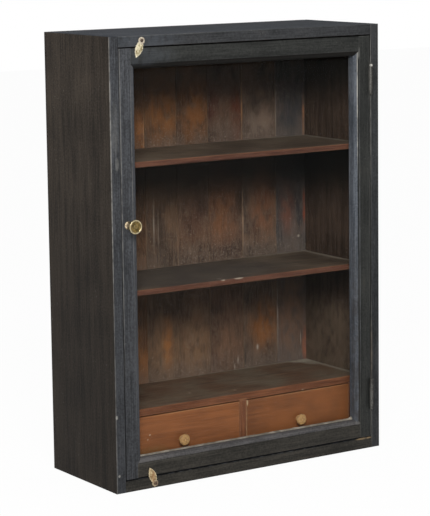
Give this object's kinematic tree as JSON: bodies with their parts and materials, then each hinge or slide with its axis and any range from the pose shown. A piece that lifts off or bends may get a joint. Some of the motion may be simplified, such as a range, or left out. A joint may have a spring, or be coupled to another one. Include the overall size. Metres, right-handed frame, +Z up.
{
  "type": "wall display cabinet",
  "caption": "Black-stained wooden wall display cabinet with a glazed door, shelves, small drawers, a brass knob and leaf-shaped turn catches",
  "frame": {"origin": "centre of the underside of the case, midway between its sides and its front and back", "axes": "+X to the right seen from the front, towards the hinges; +Y from front to back; +Z up"},
  "size_m": [0.507, 0.221, 0.7],
  "materials": {
    "ebonised_case": "black stain and paint on wood, satin, worn at the arrises",
    "back_board_wood": "old brown stained softwood, dull, uneven",
    "shelf_wood": "dark stained wood, dusty satin, redder front edge",
    "red_brown_wood": "red brown stained wood, satin",
    "drawer_lining": "plain unfinished softwood, darkened",
    "turned_pale_wood": "turned pale hardwood, waxed",
    "ebonised_door": "black paint on wood, satin, brush marks, worn arrises",
    "old_putty": "dry glazing putty, matt",
    "window_glass": "clear old sheet glass",
    "aged_brass": "tarnished brass, brighter rim",
    "cast_brass": "pale cast brass, rubbed",
    "blackened_iron": "iron under black paint, worn"
  },
  "bodies": {
    "case": {"left_side": "ebonised_case", "right_side": "ebonised_case", "top_board": "ebonised_case", "bottom_board": "ebonised_case", "back_board_1": "back_board_wood", "back_board_2": "back_board_wood", "back_board_3": "back_board_wood", "back_board_4": "back_board_wood", "back_board_5": "back_board_wood", "back_board_6": "back_board_wood", "back_board_7": "back_board_wood", "back_board_8": "back_board_wood", "shelf_upper": "shelf_wood", "shelf_lower": "shelf_wood", "drawer_deck": "red_brown_wood", "drawer_divider": "red_brown_wood", "drawer_packer": "red_brown_wood", "drawer_stops": "red_brown_wood", "door_stop": "shelf_wood", "hinge_upper_case_leaf": "blackened_iron", "hinge_upper_pin": "blackened_iron", "hinge_upper_case_screws": "blackened_iron", "hinge_lower_case_leaf": "blackened_iron", "hinge_lower_pin": "blackened_iron", "hinge_lower_case_screws": "blackened_iron", "catch_top_screw": "blackened_iron", "catch_bottom_screw": "blackened_iron"},
    "door": {"door_stile_closing": "ebonised_door", "door_stile_hinge": "ebonised_door", "door_rail_top": "ebonised_door", "door_rail_bottom": "ebonised_door", "door_glass": "window_glass", "glazing_bead_left": "ebonised_door", "glazing_bead_right": "ebonised_door", "glazing_bead_top": "ebonised_door", "glazing_bead_bottom": "old_putty", "door_knob": "aged_brass", "hinge_upper_door_leaf": "blackened_iron", "hinge_upper_door_screws": "blackened_iron", "hinge_lower_door_leaf": "blackened_iron", "hinge_lower_door_screws": "blackened_iron"},
    "catch_top": {"catch_top": "cast_brass"},
    "catch_bottom": {"catch_bottom": "cast_brass"},
    "left_drawer": {"left_drawer_front": "red_brown_wood", "left_drawer_side_left": "drawer_lining", "left_drawer_side_right": "drawer_lining", "left_drawer_back": "drawer_lining", "left_drawer_bottom": "drawer_lining", "left_drawer_knob": "turned_pale_wood"},
    "right_drawer": {"right_drawer_front": "red_brown_wood", "right_drawer_side_left": "drawer_lining", "right_drawer_side_right": "drawer_lining", "right_drawer_back": "drawer_lining", "right_drawer_bottom": "drawer_lining", "right_drawer_knob": "turned_pale_wood"}
  },
  "joints": [
    {"name": "door_hinge", "type": "hinge", "parent": "case", "child": "door", "pos_m": [0.23675, -0.1018, 0.35], "axis": [0, 0, 1], "range_deg": [0, 180]},
    {"name": "left_drawer_slide", "type": "slide", "parent": "case", "child": "left_drawer", "axis": [0, -1, 0], "range_m": [0, 0.049]},
    {"name": "right_drawer_slide", "type": "slide", "parent": "case", "child": "right_drawer", "axis": [0, -1, 0], "range_m": [0, 0.09]},
    {"name": "catch_top_turn", "type": "hinge", "parent": "case", "child": "catch_top", "pos_m": [-0.1967, -0.099, 0.6924], "axis": [0, 1, 0], "range_deg": [-112, 68]},
    {"name": "catch_bottom_turn", "type": "hinge", "parent": "case", "child": "catch_bottom", "pos_m": [-0.1859, -0.099, 0.0074], "axis": [0, 1, 0], "range_deg": [-88, 106]}
  ],
  "couplings": [
    {"joint": "left_drawer_slide", "follows": "door_hinge", "m_per_rad": 0.015597},
    {"joint": "right_drawer_slide", "follows": "door_hinge", "m_per_rad": 0.028648},
    {"joint": "catch_bottom_turn", "follows": "door_hinge", "ratio": -0.48889}
  ]
}
